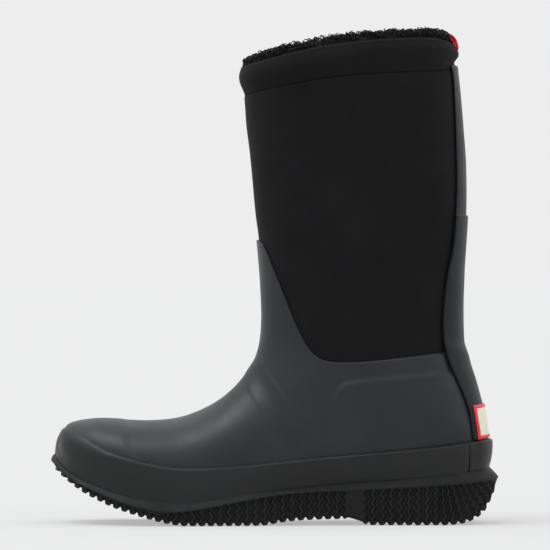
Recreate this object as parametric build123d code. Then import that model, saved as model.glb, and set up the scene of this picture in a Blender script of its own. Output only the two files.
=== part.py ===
"""Pull-on winter rubber boot, left foot, in millimetres.

The toe points to -Y, the heel to +Y, the wearer's left (outer) side is +X and the sole stands on Z = 0.
The boot is a bent tube. Each station below is one flat section across it, from the top or front line of
the boot to its bottom or back line. Every layer is a loft through the same stations, moved inwards by
its own depth, so that the layers nest with a thin cement gap between them.
"""

import math
import os

from build123d import *

# ---- overall sizes ----
OUTSOLE_LENGTH = 285.4
OUTSOLE_WIDTH = 102.0
SIDE = 70.0  # half width of a side-profile cutter

# ---- layer depths, measured inwards from the outer face of the rubber upper ----
GAP = 0.15  # cement line between two glued layers
RUBBER = 1.5
STIFFENER = 1.2
NEOPRENE = 3.0
FOOT_PILE = 4.0
LEG_PILE = 4.5
STAY = 1.4
OVERLAY = 1.2
BADGE = 1.2
PANEL_SUNK = 0.4  # how far the badge's panel lies below its border
STIFFENER_IN = RUBBER + GAP + STIFFENER
FOOT_LINING_OUT = STIFFENER_IN + GAP
FOOT_LINING_IN = FOOT_LINING_OUT + FOOT_PILE
NEOPRENE_OUT = RUBBER + GAP
NEOPRENE_IN = NEOPRENE_OUT + NEOPRENE
LEG_LINING_OUT = NEOPRENE_IN + GAP
LEG_LINING_IN = LEG_LINING_OUT + LEG_PILE

# ---- tread ----
RIB_PITCH = 5.7
RIB_WIDTH = 3.2
RIB_DEPTH = 2.1
RIB_ROOT = 1.5  # how far a rib runs up into the slab
RIB_INSET = 2.5  # between a rib's end and the outline
RIB_COUNT = 48
FIRST_RIB_Y = -134.0

# ---- hem stitching ----
STITCH_PITCH = 3.1
STITCH = (0.5, 1.9, 0.7)  # thickness off the cloth, length along the seam, height

# ---- pull tab ----
TAB_WIDTH = 20.0
TAB_THICKNESS = 2.2
TAB_HINGE = (118.6, 304.4)  # Y and Z of the line where the webbing leaves the rim seam
TAB_DIP_Z = 308.8  # height of the pile where the webbing presses it down

# ---- footbed ----
FOOTBED_DEPTH = FOOT_LINING_IN + 0.7
FOAM_HEIGHT = 3.6
COVER_HEIGHT = 2.6

# Stations from toe to rim: (front Y, front Z), (back Y, back Z), centre X, half width,
# share of the way down to the widest place, roundness above it, roundness below it.
# Roundness 2 is an ellipse, and more is boxier.
STATIONS = [
    ((-135.6, 58.6), (-135.6, 44.6), -8.0, 13.0, 0.55, 2.2, 2.4),
    ((-132.0, 62.6), (-132.0, 38.2), -7.4, 23.0, 0.58, 2.3, 2.8),
    ((-125.0, 65.4), (-125.0, 32.0), -6.2, 31.0, 0.60, 2.4, 3.2),
    ((-112.0, 66.9), (-112.0, 26.0), -3.9, 38.5, 0.62, 2.4, 3.6),
    ((-97.0, 66.5), (-97.0, 20.6), -2.2, 43.0, 0.63, 2.3, 4.0),
    ((-80.0, 65.8), (-80.0, 17.4), -0.8, 45.4, 0.63, 2.2, 4.0),
    ((-62.0, 67.5), (-61.0, 16.0), 0.6, 45.4, 0.63, 2.1, 4.0),
    ((-46.0, 72.7), (-40.0, 17.4), 2.0, 43.2, 0.62, 2.0, 4.0),
    ((-33.0, 80.4), (-14.0, 21.8), 2.4, 40.0, 0.60, 2.0, 4.0),
    ((-22.6, 90.0), (15.0, 25.0), 2.2, 37.4, 0.58, 2.0, 4.0),
    ((-15.4, 101.4), (48.0, 28.2), 1.6, 36.6, 0.55, 2.0, 3.8),
    ((-11.0, 111.5), (84.0, 30.6), 0.8, 37.8, 0.52, 2.1, 3.6),
    ((-9.0, 121.0), (112.0, 33.8), 0.4, 39.2, 0.51, 2.1, 3.0),
    ((-8.4, 131.0), (130.6, 47.0), 0.0, 40.3, 0.51, 2.1, 2.5),
    ((-8.6, 142.0), (130.6, 67.0), 0.0, 41.0, 0.51, 2.1, 2.3),
    ((-9.3, 155.0), (125.8, 89.0), 0.0, 41.6, 0.51, 2.1, 2.2),
    ((-10.3, 168.0), (120.4, 110.0), 0.0, 42.2, 0.51, 2.1, 2.2),
    ((-11.5, 181.0), (119.2, 133.0), 0.0, 43.2, 0.51, 2.1, 2.2),
    ((-13.2, 197.0), (119.8, 161.0), 0.0, 44.6, 0.51, 2.1, 2.2),
    ((-15.2, 217.0), (121.8, 196.0), 0.0, 46.2, 0.51, 2.1, 2.2),
    ((-17.2, 237.0), (121.9, 226.0), 0.0, 47.6, 0.51, 2.1, 2.2),
    ((-19.5, 256.0), (120.3, 250.0), 0.0, 48.6, 0.51, 2.1, 2.2),
    ((-20.4, 272.0), (118.6, 272.0), 0.0, 49.2, 0.51, 2.1, 2.2),
    ((-21.4, 286.0), (116.8, 291.0), 0.0, 49.5, 0.51, 2.1, 2.2),
    ((-22.2, 299.0), (115.8, 307.0), 0.0, 49.6, 0.51, 2.1, 2.2),
    ((-23.0, 318.0), (115.0, 330.0), 0.0, 49.6, 0.51, 2.1, 2.2),
]
FOOT = (0, 18)  # stations that a layer of the foot is lofted through
HEEL = (10, 18)  # stations that the badge is lofted through
SHIN = (9, 20)  # stations that the overlay is lofted through
LEG = (10, 25)  # stations that a layer of the leg is lofted through
TOE_STATIONS = 6  # stations that draw back from the toe as a layer lies deeper
STAY_STEP = 17  # station where the back stay steps down from the rubber on to the neoprene
HEM_START = 23  # station where the turned hem begins
HEM_PROUD = 2.2  # how far the hem stands out from the leg
PINCH_BOTTOM_Z = 273.5  # where the hem starts to be held in by the back stay
SECTION_POINTS = 24

# Side-view lines as (Y, Z), each from toe to heel unless it says otherwise.
DECK = [(-150, 62), (-140.4, 44.3), (-133.5, 36), (-123, 29.5), (-110, 24), (-96.5, 19.6), (-80, 16.4),
        (-62, 15), (-40, 16.6), (-14, 21), (15, 24.2), (48, 27.4), (84, 29.6), (112, 32.6), (135, 35.8),
        (150, 38.5)]
TREAD = [(-150, 46), (-138, 33), (-122.7, 21.3), (-102.3, 11.5), (-80, 4.4), (-66, 1.3), (-56, 0), (-2, 0),
         (6, 2.4), (28, 3.4), (50, 2.4), (57, 0), (112, 0), (124, 2), (133, 7.7), (138.3, 17.9), (142.8, 30),
         (144, 40)]
FOXING_TOP = [(-146, 46), (-140.5, 48.5), (-138.6, 54.5), (-133, 61.4), (-123, 55), (-112, 48), (-104, 43),
              (-88, 39.3), (-70, 35.8), (-54, 34.7), (-22.5, 36.3), (22, 41.8), (69, 46.5), (107, 50),
              (126, 52.4), (146, 54.6)]
VAMP_TOP = [(-160, 192), (-90, 189), (-30, 184.5), (-11.4, 181), (-6.4, 175), (-1.7, 164), (3.3, 152),
            (10.5, 134), (17, 120), (24, 109.6), (33, 104.6), (48, 103.7), (69, 105), (108, 109), (140, 113)]
STAY_FRONT = [(125.6, 40), (125.8, 53.3), (123.7, 70), (119.5, 83), (113, 97.7), (109, 109.5), (107, 124),
              (107.6, 141), (110, 160), (113.2, 176), (115.2, 200), (115.7, 226), (114.2, 276), (111.9, 292)]
RIM = [(-40, 286), (-20.5, 291), (16.6, 300.7), (43, 305.3), (73.5, 308.2), (98, 308.8), (109, 307.2),
       (117, 303.4), (130, 298)]
HEM_SEAM = [(-40, 268), (-11.4, 275), (12.5, 280), (43, 285), (83.7, 287.5), (107, 288.5), (130, 288.5)]
FOXING_JOINT_Y = 126.3
STAY_TOP_Z = 292.0
STAY_BOTTOM_Z = 54.2
OVERLAY_TOP_Z = 196.5
LINING_ABOVE_RIM = 6.0
TUCK = 8.0  # how far the neoprene runs down inside the rubber
LINING_JOIN = 13.0  # how far below the rubber's top edge the two linings meet

# Outsole seen from above as (X, Y), from the heel round the outer side to the toe and back.
OUTLINE = [(0, 142.7), (22, 137.5), (34.5, 121), (38, 98), (37, 70), (37, 42), (41.5, 10), (48, -22),
           (51, -54), (48.6, -84), (39.5, -111), (20, -134), (-9, -142.7), (-34, -133.5), (-47.5, -110),
           (-51, -80), (-48, -52), (-41, -22), (-34.8, 8), (-32.8, 38), (-34.5, 70), (-37, 96),
           (-34.5, 120), (-22, 137.5)]


def root(value, roundness):
    """A cosine or sine bent from a circle's to a rounder box's."""
    return math.copysign(abs(value) ** (2 / roundness), value)


def obliqueness(index):
    """How much longer a layer's depth is along a station's own line than straight through the wall."""
    before = STATIONS[max(index - 1, 0)]
    after = STATIONS[min(index + 1, len(STATIONS) - 1)]
    (front_y, front_z), (back_y, back_z) = STATIONS[index][:2]
    length = math.hypot(back_y - front_y, back_z - front_z)
    across = ((back_y - front_y) / length, (back_z - front_z) / length)
    factors = []
    for end in (0, 1):
        along = (after[end][0] - before[end][0], after[end][1] - before[end][1])
        turn = abs(across[0] * along[1] - across[1] * along[0]) / math.hypot(*along)
        factors.append(1 / max(turn, 0.6))
    return across, factors


def section(index, depth):
    """The closed outline of one station for the layer that starts at this depth."""
    (front_y, front_z), (back_y, back_z), centre, half, widest, upper, lower = STATIONS[index]
    across, (front_factor, back_factor) = obliqueness(index)
    shift = depth * max(0.0, 1 - index / TOE_STATIONS)
    top_y = front_y + shift + across[0] * depth * front_factor
    top_z = front_z + across[1] * depth * front_factor
    end_y = back_y + shift - across[0] * depth * back_factor
    end_z = back_z - across[1] * depth * back_factor
    points = []
    for step in range(SECTION_POINTS):
        angle = 2 * math.pi * step / SECTION_POINTS
        roundness = upper if math.cos(angle) > 0 else lower
        reach = root(math.cos(angle), roundness)
        share = widest - widest * reach if reach > 0 else widest - (1 - widest) * reach
        x = centre + (half - depth) * root(math.sin(angle), roundness)
        points.append((x, top_y + share * (end_y - top_y), top_z + share * (end_z - top_z)))
    return Wire([Edge.make_spline(points, periodic=True)])


def boot_body(depth, stations=FOOT):
    """The solid inside the layer at this depth, which is a number or a function of the station."""
    depths = depth if callable(depth) else lambda index: depth
    first, last = stations
    return Solid.make_loft([section(index, depths(index)) for index in range(first, last + 1)])


def layer(outer, inner, stations=FOOT):
    """The wall between two depths."""
    return boot_body(outer, stations) - boot_body(inner, stations)


def side_cut(line, closing, half=SIDE, centre=0.0):
    """A block whose side view is bounded by a smooth line and then straight runs back to its start."""
    smooth = Edge.make_spline([(centre - half, y, z) for y, z in line])
    corners = [line[-1]] + closing + [line[0]]
    runs = [
        Edge.make_line((centre - half, *a), (centre - half, *b)) for a, b in zip(corners, corners[1:])
    ]
    return Solid.extrude(Face(Wire([smooth] + runs)), Vector(2 * half, 0, 0))


def below(line, drop=0.0, half=SIDE):
    """Everything under a line that runs from toe to heel."""
    lowered = [(y, z - drop) for y, z in line]
    return side_cut(lowered, [(lowered[-1][0], -60), (lowered[0][0], -60)], half)


def above(line, drop=0.0, half=SIDE):
    """Everything over a line that runs from toe to heel."""
    lowered = [(y, z - drop) for y, z in line]
    return side_cut(lowered, [(lowered[-1][0], 400), (lowered[0][0], 400)], half)


def block(x_range, y_range, z_range):
    """A box from its three ranges."""
    (x0, x1), (y0, y1), (z0, z1) = x_range, y_range, z_range
    return Pos((x0 + x1) / 2, (y0 + y1) / 2, (z0 + z1) / 2) * Box(x1 - x0, y1 - y0, z1 - z0)


def outline_wire(inset, z):
    """The outsole's outline drawn in by an inset, at a height."""
    half_width, half_length = OUTSOLE_WIDTH / 2, OUTSOLE_LENGTH / 2
    points = [
        (x * (half_width - inset) / half_width, y * (half_length - inset) / half_length, z)
        for x, y in OUTLINE
    ]
    return Wire([Edge.make_spline(points, periodic=True)])


def plan_block(low_inset, high_inset, low, high):
    """A wall-sided or tapered block with the outsole's outline."""
    return Solid.make_loft([outline_wire(low_inset, low), outline_wire(high_inset, high)], ruled=True)


def line_height(line, y):
    """A line's height at a place along the boot, by straight runs between its points."""
    for (y0, z0), (y1, z1) in zip(line, line[1:]):
        if y <= y1:
            return z0 + (z1 - z0) * (y - y0) / (y1 - y0)
    return line[-1][1]


def outline_reach(side, y):
    """How far the outline reaches to one side (1 outer, -1 inner) at a place along the boot."""
    flank = sorted((py, abs(px)) for px, py in OUTLINE if px * side > 0)
    return line_height(flank, y)


def make_outsole():
    """The sole's slab with a row of cross ribs, whose tips stand on the floor at heel and ball."""
    slab = plan_block(-0.4, 1.4, -1, 60) & below(DECK) & above(TREAD, -RIB_DEPTH)
    ribs = []
    for number in range(RIB_COUNT):
        y = FIRST_RIB_Y + number * RIB_PITCH
        tip = max(0.0, line_height(TREAD, y))
        sides = (-outline_reach(-1, y) + RIB_INSET, outline_reach(1, y) - RIB_INSET)
        ribs.append(block(sides, (y - RIB_WIDTH / 2, y + RIB_WIDTH / 2), (tip, tip + RIB_DEPTH + RIB_ROOT)))
    return slab.fuse(*ribs)


def make_foxing():
    """The mudguard band round the upper, and its separate piece at the heel."""
    band = plan_block(1.6, 5.2, 10, 62) & below(FOXING_TOP) & above(DECK, -GAP)
    band = band - boot_body(-0.1)
    joint = FOXING_JOINT_Y
    return band & block((-60, 60), (-160, joint - GAP / 2), (0, 90)), band & block(
        (-60, 60), (joint + GAP / 2, 160), (0, 90)
    )


def make_bottom_opening(inset):
    """The middle of the bottom, inside the margin of rubber that is turned under the insole board."""
    return plan_block(inset, inset, -5, 90) & below(DECK, -6.0)


def stay_depth(over_rubber, over_cloth):
    """A depth that steps from the rubber's level to the cloth's level up the back."""
    return lambda index: over_rubber if index < STAY_STEP else over_cloth


def make_back_parts(vamp_cut):
    """The back stay with its lower overlay, both behind their front edge line."""
    behind = side_cut(STAY_FRONT, [(160, 292), (160, 40)], 40)
    tall = block((-40, 40), (90, 150), (STAY_BOTTOM_Z, STAY_TOP_Z))
    low = side_cut(
        [(y + 1.6, z) for y, z in STAY_FRONT if z < OVERLAY_TOP_Z - 10] + [(122, OVERLAY_TOP_Z)],
        [(160, OVERLAY_TOP_Z), (160, 40)],
        40,
    )
    low_band = block((-40, 40), (90, 150), (STAY_BOTTOM_Z, OVERLAY_TOP_Z))
    stay_outer = stay_depth(-0.1 - STAY, NEOPRENE_OUT - 0.1 - STAY)
    stay = (boot_body(stay_outer, LEG) & behind & tall) - boot_body(NEOPRENE_OUT - 0.1, LEG)
    over_outer = stay_depth(-0.2 - STAY - OVERLAY, NEOPRENE_OUT - 0.2 - STAY - OVERLAY)
    over_inner = stay_depth(-0.2 - STAY, NEOPRENE_OUT - 0.2 - STAY)
    overlay = (boot_body(over_outer, SHIN) & low & low_band) - boot_body(over_inner, SHIN)
    stay = stay - vamp_cut
    return stay, overlay


def make_badge():
    """The heel badge's raised frame and the blank panel inside it, wrapped round the heel."""
    inner = -0.45 - STAY - OVERLAY
    skin = layer(inner - BADGE, inner, HEEL)
    thin = layer(inner - BADGE + PANEL_SUNK, inner, HEEL)
    outer_shape = [(126.8, 75.2), (160, 84), (160, 61.5), (131.1, 53.9)]
    inner_shape = [(129.2, 72.9), (160, 81.1), (160, 64.2), (132.6, 56.6)]
    frame_cut = Solid.extrude(side_face(outer_shape), Vector(2 * SIDE, 0, 0))
    panel_cut = Solid.extrude(side_face(inner_shape), Vector(2 * SIDE, 0, 0))
    return (skin & frame_cut) - panel_cut, thin & panel_cut


def side_face(corners):
    """A flat face in the side view from its corners."""
    points = [(-SIDE, y, z) for y, z in corners]
    return Face(Wire.make_polygon(points, close=True))


def make_stiffeners():
    """Insole board, toe puff, instep band and heel counter, all in the layer under the rubber."""
    wall = layer(NEOPRENE_OUT, STIFFENER_IN)
    board_top = -5.5
    board = wall & below(DECK, board_top)
    upper_wall = wall & above(DECK, board_top - 0.3)
    puff = upper_wall & side_cut(
        [(-94, 90), (-94, 56), (-91, 46), (-84, 34), (-78, 10)], [(-150, 10), (-150, 90)]
    )
    band = upper_wall & side_cut(
        [(-17.5, 105), (-16.5, 87), (-7, 69), (-1, 42), (0, 20)], [(22, 20), (19, 49), (8, 79), (-5, 101)]
    )
    counter = upper_wall & side_cut(
        [(37.5, 20), (37.5, 46), (37.5, 70), (39, 83), (46, 88), (80, 92), (113, 94.5), (145, 95)],
        [(145, 20)],
    )
    return board, puff, band, counter


def make_linings():
    """The pile sock of the foot and the pile tube of the leg, which stands proud of the rim."""
    foot = layer(FOOT_LINING_OUT, FOOT_LINING_IN) & below(VAMP_TOP, LINING_JOIN)
    leg = layer(LEG_LINING_OUT, LEG_LINING_IN, LEG) & above(VAMP_TOP, LINING_JOIN - 0.3)
    leg = leg & below(RIM, -LINING_ABOVE_RIM)
    return foot, leg


def make_neoprene():
    """The stretch leg with its turned hem, tucked down inside the rubber and pinched in behind the stay."""
    outer = boot_body(lambda index: NEOPRENE_OUT - (HEM_PROUD if index >= HEM_START else 0), LEG)
    wall = outer - boot_body(NEOPRENE_IN, LEG)
    wall = wall & above(VAMP_TOP, TUCK) & below(RIM)
    front = [(y - 0.3, z) for y, z in STAY_FRONT] + [(111.8, 294)]
    behind_stay = side_cut(front, [(160, 294), (160, 40)], 40)
    pinch = behind_stay & block((-40, 40), (90, 150), (PINCH_BOTTOM_Z, STAY_TOP_Z + 0.3))
    return wall - (pinch - boot_body(NEOPRENE_OUT, LEG))


def leg_point(angle, height, depth):
    """A point on the leg's wall at a height, from the two stations on each side of the hem seam."""
    low, high = STATIONS[22], STATIONS[23]
    values = []
    for end in (0, 1):
        share = (height - low[end][1]) / (high[end][1] - low[end][1])
        values.append(low[end][0] + share * (high[end][0] - low[end][0]))
    front, back = values[0] + depth, values[1] - depth
    widest, upper, lower = low[4], low[5], low[6]
    roundness = upper if math.cos(angle) > 0 else lower
    reach = root(math.cos(angle), roundness)
    share = widest - widest * reach if reach > 0 else widest - (1 - widest) * reach
    return (low[3] - depth) * root(math.sin(angle), roundness), front + share * (back - front)


def make_stitching():
    """One row of separate stitches round the hem, spaced evenly along the seam."""
    depth = NEOPRENE_OUT - HEM_PROUD - 0.3 - STITCH[0] / 2
    ring = []
    steps = 720
    for step in range(steps + 1):
        angle = 2 * math.pi * step / steps
        _, y = leg_point(angle, 280, depth)
        height = line_height(HEM_SEAM, y)
        ring.append((*leg_point(angle, height, depth), height))
    stitches = []
    travelled, due = 0.0, STITCH_PITCH / 2
    for (x0, y0, z0), (x1, y1, z1) in zip(ring, ring[1:]):
        travelled += math.dist((x0, y0, z0), (x1, y1, z1))
        if travelled >= due and y0 < 109:
            turn = math.degrees(math.atan2(y1 - y0, x1 - x0))
            stitch = Box(STITCH[1], STITCH[0], STITCH[2])
            stitches.append(Pos(x0, y0, z0) * Rot(0, 0, turn) * stitch)
        if travelled >= due:
            due += STITCH_PITCH
    return Compound(stitches)


def tab_outline(width, thickness, path):
    """A ribbon of webbing along a side-view path."""
    middle = Wire([Edge.make_spline([(0, y, z) for y, z in path])])
    start = middle.position_at(0)
    along = middle.tangent_at(0)
    face = Plane(origin=start, x_dir=(1, 0, 0), z_dir=along) * Rectangle(width, thickness)
    return sweep(face, path=middle)


def make_pull_tab():
    """The folded webbing loop that lies over the rim, and its sewn end between hem and lining."""
    hinge_y, hinge_z = TAB_HINGE
    path = [(hinge_y, hinge_z), (118.4, 308.6), (116, 312.4), (111.6, 314.6), (106.6, 313.4),
            (103.2, 309), (101.6, 302), (100.8, 292), (100.4, 280)]
    loop = tab_outline(TAB_WIDTH, TAB_THICKNESS, path)
    sewn = layer(LEG_LINING_OUT, LEG_LINING_OUT + 1.6, LEG)
    sewn = sewn & block((-TAB_WIDTH / 2, TAB_WIDTH / 2), (95, 125), (286, 302))
    return loop, sewn


def cut_room_for_tab(lining):
    """The lining with a pocket for the webbing's sewn end, and pressed down where the loop lies on it."""
    half = TAB_WIDTH / 2
    pocket = layer(LEG_LINING_OUT - 0.05, LEG_LINING_OUT + 1.75, LEG)
    pocket = pocket & block((-half - 0.2, half + 0.2), (95, 125), (285.8, 330))
    dip = block((-half - 0.8, half + 0.8), (95, 125), (TAB_DIP_Z, 330))
    return lining - pocket - dip


def make_footbed():
    """The loose insole: a foam bed and its pile cover, inside the foot lining."""
    room = boot_body(FOOTBED_DEPTH)
    foam = room & below(DECK, -(FOOTBED_DEPTH + 0.3 + FOAM_HEIGHT))
    cover = room & above(DECK, -(FOOTBED_DEPTH + 0.3 + FOAM_HEIGHT + GAP))
    cover = cover & below(DECK, -(FOOTBED_DEPTH + 0.3 + FOAM_HEIGHT + GAP + COVER_HEIGHT))
    return foam, cover


def save(shape, name):
    """Writes one sub-part."""
    export_step(shape, f"parts/{name}.step")


def main():
    """Builds every sub-part and writes it."""
    os.makedirs("parts", exist_ok=True)
    save(make_outsole(), "outsole")
    foxing, heel_foxing = make_foxing()
    save(foxing, "foxing_band")
    save(heel_foxing, "heel_foxing")

    shell = layer(0.0, RUBBER)
    upper = shell & below(VAMP_TOP)
    vamp = upper - make_bottom_opening(17.0)
    filler = upper & make_bottom_opening(17.2)
    shank = filler & block((-8, 8), (-25, 75), (0, 60))
    filler = filler - block((-8.2, 8.2), (-25.2, 75.2), (0, 60))
    save(vamp, "rubber_vamp")
    save(shank, "shank")
    save(filler & block((-60, 60), (-160, 14.9), (0, 60)), "forepart_filler")
    save(filler & block((-60, 60), (15.1, 160), (0, 60)), "heel_filler")

    vamp_cut = layer(-0.35, RUBBER + 0.3, HEEL) & below(VAMP_TOP, -0.15)
    stay, overlay = make_back_parts(vamp_cut)
    save(stay, "back_stay")
    save(overlay, "back_stay_overlay")
    frame, panel = make_badge()
    save(frame, "heel_badge_border")
    save(panel, "heel_badge_panel")

    for shape, name in zip(make_stiffeners(), ("insole_board", "toe_puff", "instep_band", "heel_counter")):
        save(shape, name)
    foot_lining, leg_lining = make_linings()
    tab, sewn = make_pull_tab()
    save(foot_lining, "foot_lining")
    save(cut_room_for_tab(leg_lining), "leg_lining")
    save(make_neoprene(), "neoprene_leg")
    save(make_stitching(), "hem_stitching")
    save(tab, "pull_tab")
    save(sewn, "pull_tab_anchor")
    foam, cover = make_footbed()
    save(foam, "footbed_foam")
    save(cover, "footbed_cover")


main()
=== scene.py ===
"""Looks of the pull-on winter rubber boot. Shapes are worked out in millimetres and stored in metres.

The boot's wall is one bent tube: wall(station, angle, depth) gives a point on the layer at that depth.
Angle 0 is the top or front line, pi the bottom or back line, and sin(angle) > 0 is the outer side (+X).
"""

import functools
import math

import bmesh
import bpy
import numpy as np
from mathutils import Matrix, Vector
from mathutils.bvhtree import BVHTree


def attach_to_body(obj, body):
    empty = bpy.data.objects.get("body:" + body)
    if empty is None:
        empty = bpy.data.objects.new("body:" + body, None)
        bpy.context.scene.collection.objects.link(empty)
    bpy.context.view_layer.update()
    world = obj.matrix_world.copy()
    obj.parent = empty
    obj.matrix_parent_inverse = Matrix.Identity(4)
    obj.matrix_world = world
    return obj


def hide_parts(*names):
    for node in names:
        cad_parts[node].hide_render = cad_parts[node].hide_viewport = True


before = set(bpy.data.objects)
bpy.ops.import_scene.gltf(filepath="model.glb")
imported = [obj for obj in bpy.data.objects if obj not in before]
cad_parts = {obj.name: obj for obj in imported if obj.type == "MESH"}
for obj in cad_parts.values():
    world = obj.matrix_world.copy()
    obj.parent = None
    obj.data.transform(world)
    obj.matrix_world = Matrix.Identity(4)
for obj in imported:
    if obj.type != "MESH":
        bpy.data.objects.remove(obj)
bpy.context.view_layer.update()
RNG = np.random.default_rng(11)
MM = 0.001

# ---- layers, measured inwards from the rubber's outer face ----
RUBBER = 1.5
NEOPRENE_OUT = 1.65
NEOPRENE_IN = 4.65
PILE_OUT = 4.8
PILE_IN = 9.0
STAY = 1.7
OVERLAY = 1.2

# ---- shape of the tube, one row a station from toe to rim: front Y and Z, back Y and Z, centre X,
# half width, share of the way to the widest place, roundness above it and below it ----
STATIONS = np.array([
    (-134.6, 58.4, -134.6, 44.6, -8.0, 13.0, 0.55, 2.2, 2.4),
    (-131.2, 62.5, -131.2, 38.2, -7.4, 23.0, 0.58, 2.3, 2.8),
    (-124.4, 64.8, -124.4, 32.0, -6.2, 31.0, 0.60, 2.4, 3.2),
    (-112.0, 66.3, -112.0, 26.0, -3.9, 38.5, 0.62, 2.4, 3.6),
    (-97.0, 66.0, -97.0, 20.6, -2.2, 43.0, 0.63, 2.3, 4.0),
    (-80.0, 65.5, -80.0, 17.4, -0.8, 45.4, 0.63, 2.2, 4.0),
    (-62.0, 67.2, -61.0, 16.0, 0.6, 45.4, 0.63, 2.1, 4.0),
    (-46.0, 72.7, -40.0, 17.4, 2.0, 43.2, 0.62, 2.0, 4.0),
    (-33.0, 80.4, -14.0, 21.8, 2.4, 40.0, 0.60, 2.0, 4.0),
    (-22.6, 90.0, 15.0, 25.0, 2.2, 37.4, 0.58, 2.0, 4.0),
    (-15.4, 101.4, 48.0, 28.2, 1.6, 36.6, 0.55, 2.0, 3.8),
    (-11.0, 111.5, 84.0, 30.6, 0.8, 37.8, 0.52, 2.1, 3.6),
    (-9.0, 121.0, 112.0, 33.8, 0.4, 39.2, 0.51, 2.1, 3.0),
    (-8.4, 131.0, 132.2, 47.0, 0.0, 40.3, 0.51, 2.1, 2.5),
    (-8.6, 142.0, 131.9, 67.0, 0.0, 41.0, 0.51, 2.1, 2.3),
    (-9.3, 155.0, 126.5, 89.0, 0.0, 41.6, 0.51, 2.1, 2.2),
    (-10.3, 168.0, 120.7, 110.0, 0.0, 42.2, 0.51, 2.1, 2.2),
    (-11.5, 181.0, 119.5, 133.0, 0.0, 43.2, 0.51, 2.1, 2.2),
    (-13.2, 197.0, 120.2, 161.0, 0.0, 44.6, 0.51, 2.1, 2.2),
    (-15.2, 217.0, 122.3, 196.0, 0.0, 46.2, 0.51, 2.1, 2.2),
    (-17.2, 237.0, 122.4, 226.0, 0.0, 47.6, 0.51, 2.1, 2.2),
    (-19.5, 256.0, 120.8, 250.0, 0.0, 48.6, 0.51, 2.1, 2.2),
    (-20.4, 272.0, 119.0, 272.0, 0.0, 49.2, 0.51, 2.1, 2.2),
    (-21.4, 286.0, 117.0, 291.0, 0.0, 49.5, 0.51, 2.1, 2.2),
    (-22.2, 299.0, 115.8, 307.0, 0.0, 49.6, 0.51, 2.1, 2.2),
    (-23.0, 318.0, 115.0, 330.0, 0.0, 49.6, 0.51, 2.1, 2.2),
])
LAST = len(STATIONS) - 1
TOE_STATIONS = 6
TIP_STATION = 0.15  # where the rubber's tube starts at the toe
VAMP_EDGE_SPAN = (9, 20)  # the stations between which the rubber's top edge lies

# ---- side-view lines as (Y, Z), from toe to heel ----
DECK = [(-150, 62), (-140.4, 44.3), (-133.5, 36), (-123, 29.5), (-110, 24), (-96.5, 19.6), (-80, 16.4),
        (-62, 15), (-40, 16.6), (-14, 21), (15, 24.2), (48, 27.4), (84, 29.6), (112, 32.6), (135, 35.8),
        (150, 38.5)]
LIP = [(-150, 44), (-142, 39.2), (-131, 31), (-120, 25.6), (-105, 18.4), (-90, 13), (-74, 9.4), (-62, 9),
       (-46, 11), (-24, 15.3), (-2, 19), (15, 21), (50, 22.6), (90, 24.6), (122, 27), (150, 30)]
TREAD = [(-150, 43), (-142.7, 36.6), (-133, 28.6), (-122.7, 21.3), (-112, 15.8), (-102.3, 11.5), (-91, 7.6),
         (-80, 4.4), (-72, 2.3), (-64, 0.8), (-56, 0), (-44, 0), (-26, 0), (-14, 0), (-6, 0.2), (2, 1.5),
         (12, 2.8), (24, 3.5), (36, 3.8), (46, 3.7), (52, 2.2), (58, 0.4), (66, 0), (84, 0), (102, 0),
         (114, 0.3), (124, 2.2), (133, 7.7), (139, 17.9), (143.4, 29), (147, 40)]
FOXING_TOP = [(-146, 46), (-140.5, 48.5), (-137.8, 54.6), (-132.4, 60.9), (-122, 56.4), (-112, 51),
              (-104, 47), (-88, 42), (-70, 38.2), (-54, 36.9), (-22.5, 38.3), (22, 42.6), (69, 46.7),
              (107, 50.5), (126, 53), (146, 55)]
VAMP_TOP = [(-160, 192), (-90, 189), (-30, 184.5), (-11.4, 181), (-6.4, 175), (-1.7, 164), (3.3, 152),
            (10.5, 134), (17, 120), (24, 109.6), (33, 104.6), (48, 103.7), (69, 105), (108, 109), (140, 113)]
RIM = [(-40, 286), (-20.5, 291), (16.6, 300.7), (43, 305.3), (73.5, 308.2), (98, 308.8), (109, 307.2),
       (117, 303.4), (130, 298)]
HEM_SEAM = [(-40, 269), (-20, 272.5), (-11.4, 275), (12.5, 280), (43, 285), (83.7, 287.5), (107, 288.5),
            (117, 291), (130, 293)]
# the pull tab's centre line, and that of its sewn end between hem and lining
TAB_PATH = [(116.0, 301.6), (115.7, 304.4), (114.6, 307.6), (112.2, 310.1), (108.3, 311.1), (104.8, 308.6),
            (102.4, 302.8), (101.1, 292.6), (100.5, 280)]
SEWN_END = [(110.9, 290), (111.4, 296), (113.4, 300.8), (115.3, 304.2), (115.7, 306.9)]
# the back stay's front edge, as (Z, Y) from the sole up
STAY_FRONT = [(40, 125.6), (53.3, 125.8), (70, 123.7), (83, 119.5), (97.7, 113), (109.5, 109), (124, 107),
              (141, 107.6), (160, 110), (176, 113.2), (200, 115.2), (226, 115.7), (276, 114.2), (292, 112.2)]
FOXING_JOINT_Y = 126.3
STAY_TOP_Z = 292.0
STAY_FOOT_STATION = 13.0
STAY_STEP_STATION = 16.1  # where the stay leaves the rubber for the cloth
OVERLAY_TOP_Z = 196.5
TUCK = 8.0
PILE_ABOVE_RIM = 3.5
TAB_DIP_Z = 308.8

# ---- outsole from above as (X, Y), from the heel round the outer side to the toe and back ----
OUTLINE = [(0, 143.2), (22, 138), (34.5, 121), (38, 98), (37, 70), (37, 42), (41.5, 10), (48, -22),
           (51, -54), (48.6, -84), (39.5, -111), (20, -134), (-9, -142.7), (-34, -133.5), (-47.5, -110),
           (-51, -80), (-48, -52), (-41, -22), (-34.8, 8), (-32.8, 38), (-34.5, 70), (-37, 96),
           (-34.5, 120), (-22, 138)]

SOLE_END_Y = 126
SOLE_END_BLEND = 14
EDGE_RADIUS = 2.6  # where the sole's side turns under

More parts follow.
